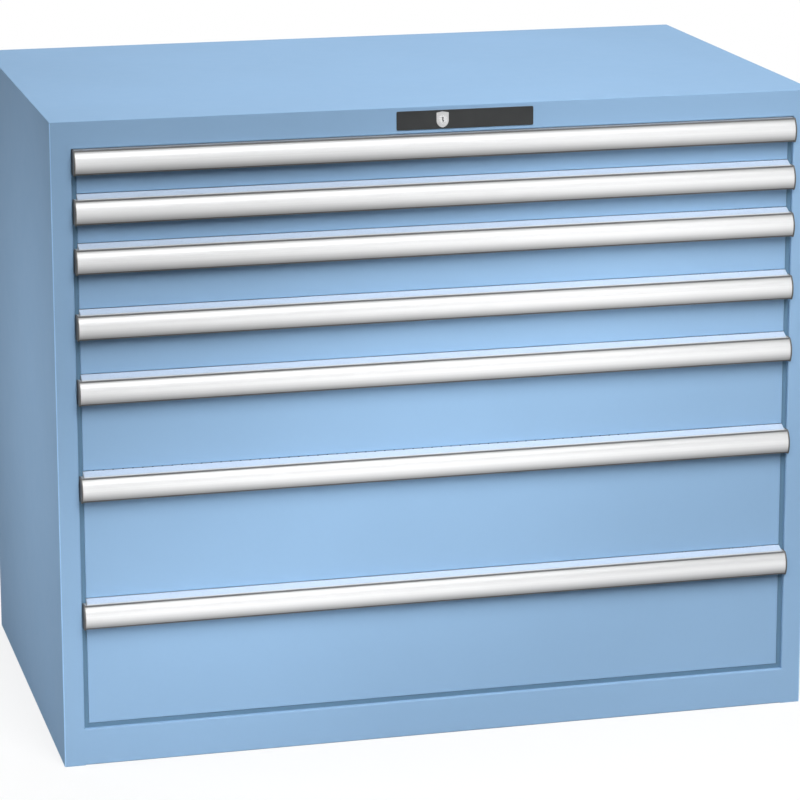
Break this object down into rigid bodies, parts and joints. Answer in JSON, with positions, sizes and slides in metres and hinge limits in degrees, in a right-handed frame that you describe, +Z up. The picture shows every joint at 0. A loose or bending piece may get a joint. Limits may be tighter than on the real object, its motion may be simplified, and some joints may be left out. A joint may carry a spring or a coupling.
{
  "type": "modular drawer cabinet",
  "caption": "Wide sheet-steel drawer cabinet with full-extension drawers of graded heights, bar handles across each front and a central lock in the top bar.",
  "frame": {"origin": "middle of the housing's footprint, on the floor", "axes": "+Z up, the drawer fronts face -Y, +X to the right of someone facing the fronts"},
  "size_m": [1.193, 0.7439, 1],
  "materials": {
    "housing_paint": "satin powder coat, light blue",
    "drawer_paint": "satin powder coat, light grey",
    "galvanised_steel": "zinc plated",
    "roller_plastic": "matte",
    "handle_aluminium": "satin anodised",
    "end_cap_plastic": "matte",
    "black_plastic": "semi-gloss",
    "lock_metal": "satin nickel"
  },
  "bodies": {
    "housing": {"side_panel_left": "housing_paint", "side_panel_right": "housing_paint", "top_panel": "housing_paint", "base_panel": "housing_paint", "back_panel": "housing_paint", "slotted_posts": "galvanised_steel", "cabinet_rails": "galvanised_steel", "lock_plate": "black_plastic", "lock_rosette": "lock_metal", "lock_cylinder": "lock_metal", "lock_nut": "galvanised_steel", "lock_rod_hangers": "galvanised_steel", "lock_bar_guides": "galvanised_steel"},
    "lock_plug": {"lock_plug": "lock_metal", "lock_crank": "galvanised_steel"},
    "lock_rod": {"lock_rod": "galvanised_steel"},
    "lock_bar": {"lock_bar": "galvanised_steel"},
    "drawer_1": {"drawer_1_tray": "drawer_paint", "drawer_1_front": "housing_paint", "drawer_1_handle": "handle_aluminium", "drawer_1_end_caps": "end_cap_plastic"},
    "carriage_1": {"carriage_1_bars": "galvanised_steel", "carriage_1_rollers": "roller_plastic"},
    "drawer_2": {"drawer_2_tray": "drawer_paint", "drawer_2_front": "housing_paint", "drawer_2_handle": "handle_aluminium", "drawer_2_end_caps": "end_cap_plastic"},
    "carriage_2": {"carriage_2_bars": "galvanised_steel", "carriage_2_rollers": "roller_plastic"},
    "drawer_3": {"drawer_3_tray": "drawer_paint", "drawer_3_front": "housing_paint", "drawer_3_handle": "handle_aluminium", "drawer_3_end_caps": "end_cap_plastic"},
    "carriage_3": {"carriage_3_bars": "galvanised_steel", "carriage_3_rollers": "roller_plastic"},
    "drawer_4": {"drawer_4_tray": "drawer_paint", "drawer_4_front": "housing_paint", "drawer_4_handle": "handle_aluminium", "drawer_4_end_caps": "end_cap_plastic"},
    "carriage_4": {"carriage_4_bars": "galvanised_steel", "carriage_4_rollers": "roller_plastic"},
    "drawer_5": {"drawer_5_tray": "drawer_paint", "drawer_5_front": "housing_paint", "drawer_5_handle": "handle_aluminium", "drawer_5_end_caps": "end_cap_plastic"},
    "carriage_5": {"carriage_5_bars": "galvanised_steel", "carriage_5_rollers": "roller_plastic"},
    "drawer_6": {"drawer_6_tray": "drawer_paint", "drawer_6_front": "housing_paint", "drawer_6_handle": "handle_aluminium", "drawer_6_end_caps": "end_cap_plastic"},
    "carriage_6": {"carriage_6_bars": "galvanised_steel", "carriage_6_rollers": "roller_plastic"},
    "drawer_7": {"drawer_7_tray": "drawer_paint", "drawer_7_front": "housing_paint", "drawer_7_handle": "handle_aluminium", "drawer_7_end_caps": "end_cap_plastic"},
    "carriage_7": {"carriage_7_bars": "galvanised_steel", "carriage_7_rollers": "roller_plastic"}
  },
  "joints": [
    {"name": "lock_bar_slide", "type": "slide", "parent": "housing", "child": "lock_bar", "axis": [0, 0, 1], "range_m": [0, 0.0113]},
    {"name": "lock_rod_slide", "type": "slide", "parent": "housing", "child": "lock_rod", "axis": [1, 0, 0], "range_m": [0, 0.0113]},
    {"name": "lock_plug_turn", "type": "hinge", "parent": "housing", "child": "lock_plug", "pos_m": [0, -0.35, 0.97925], "axis": [0, 1, 0], "range_deg": [0, 90]},
    {"name": "drawer_1_slide", "type": "slide", "parent": "housing", "child": "drawer_1", "axis": [0, -1, 0], "range_m": [0, 0.6]},
    {"name": "carriage_1_slide", "type": "slide", "parent": "housing", "child": "carriage_1", "axis": [0, -1, 0], "range_m": [0, 0.3]},
    {"name": "drawer_2_slide", "type": "slide", "parent": "housing", "child": "drawer_2", "axis": [0, -1, 0], "range_m": [0, 0.6]},
    {"name": "carriage_2_slide", "type": "slide", "parent": "housing", "child": "carriage_2", "axis": [0, -1, 0], "range_m": [0, 0.3]},
    {"name": "drawer_3_slide", "type": "slide", "parent": "housing", "child": "drawer_3", "axis": [0, -1, 0], "range_m": [0, 0.6]},
    {"name": "carriage_3_slide", "type": "slide", "parent": "housing", "child": "carriage_3", "axis": [0, -1, 0], "range_m": [0, 0.3]},
    {"name": "drawer_4_slide", "type": "slide", "parent": "housing", "child": "drawer_4", "axis": [0, -1, 0], "range_m": [0, 0.6]},
    {"name": "carriage_4_slide", "type": "slide", "parent": "housing", "child": "carriage_4", "axis": [0, -1, 0], "range_m": [0, 0.3]},
    {"name": "drawer_5_slide", "type": "slide", "parent": "housing", "child": "drawer_5", "axis": [0, -1, 0], "range_m": [0, 0.6]},
    {"name": "carriage_5_slide", "type": "slide", "parent": "housing", "child": "carriage_5", "axis": [0, -1, 0], "range_m": [0, 0.3]},
    {"name": "drawer_6_slide", "type": "slide", "parent": "housing", "child": "drawer_6", "axis": [0, -1, 0], "range_m": [0, 0.6]},
    {"name": "carriage_6_slide", "type": "slide", "parent": "housing", "child": "carriage_6", "axis": [0, -1, 0], "range_m": [0, 0.3]},
    {"name": "drawer_7_slide", "type": "slide", "parent": "housing", "child": "drawer_7", "axis": [0, -1, 0], "range_m": [0, 0.6]},
    {"name": "carriage_7_slide", "type": "slide", "parent": "housing", "child": "carriage_7", "axis": [0, -1, 0], "range_m": [0, 0.3]}
  ],
  "couplings": [
    {"joint": "lock_rod_slide", "follows": "lock_bar_slide", "ratio": 1},
    {"joint": "lock_plug_turn", "follows": "lock_bar_slide", "rad_per_m": 139},
    {"joint": "carriage_1_slide", "follows": "drawer_1_slide", "ratio": 0.5},
    {"joint": "carriage_2_slide", "follows": "drawer_2_slide", "ratio": 0.5},
    {"joint": "carriage_3_slide", "follows": "drawer_3_slide", "ratio": 0.5},
    {"joint": "carriage_4_slide", "follows": "drawer_4_slide", "ratio": 0.5},
    {"joint": "carriage_5_slide", "follows": "drawer_5_slide", "ratio": 0.5},
    {"joint": "carriage_6_slide", "follows": "drawer_6_slide", "ratio": 0.5},
    {"joint": "carriage_7_slide", "follows": "drawer_7_slide", "ratio": 0.5}
  ]
}
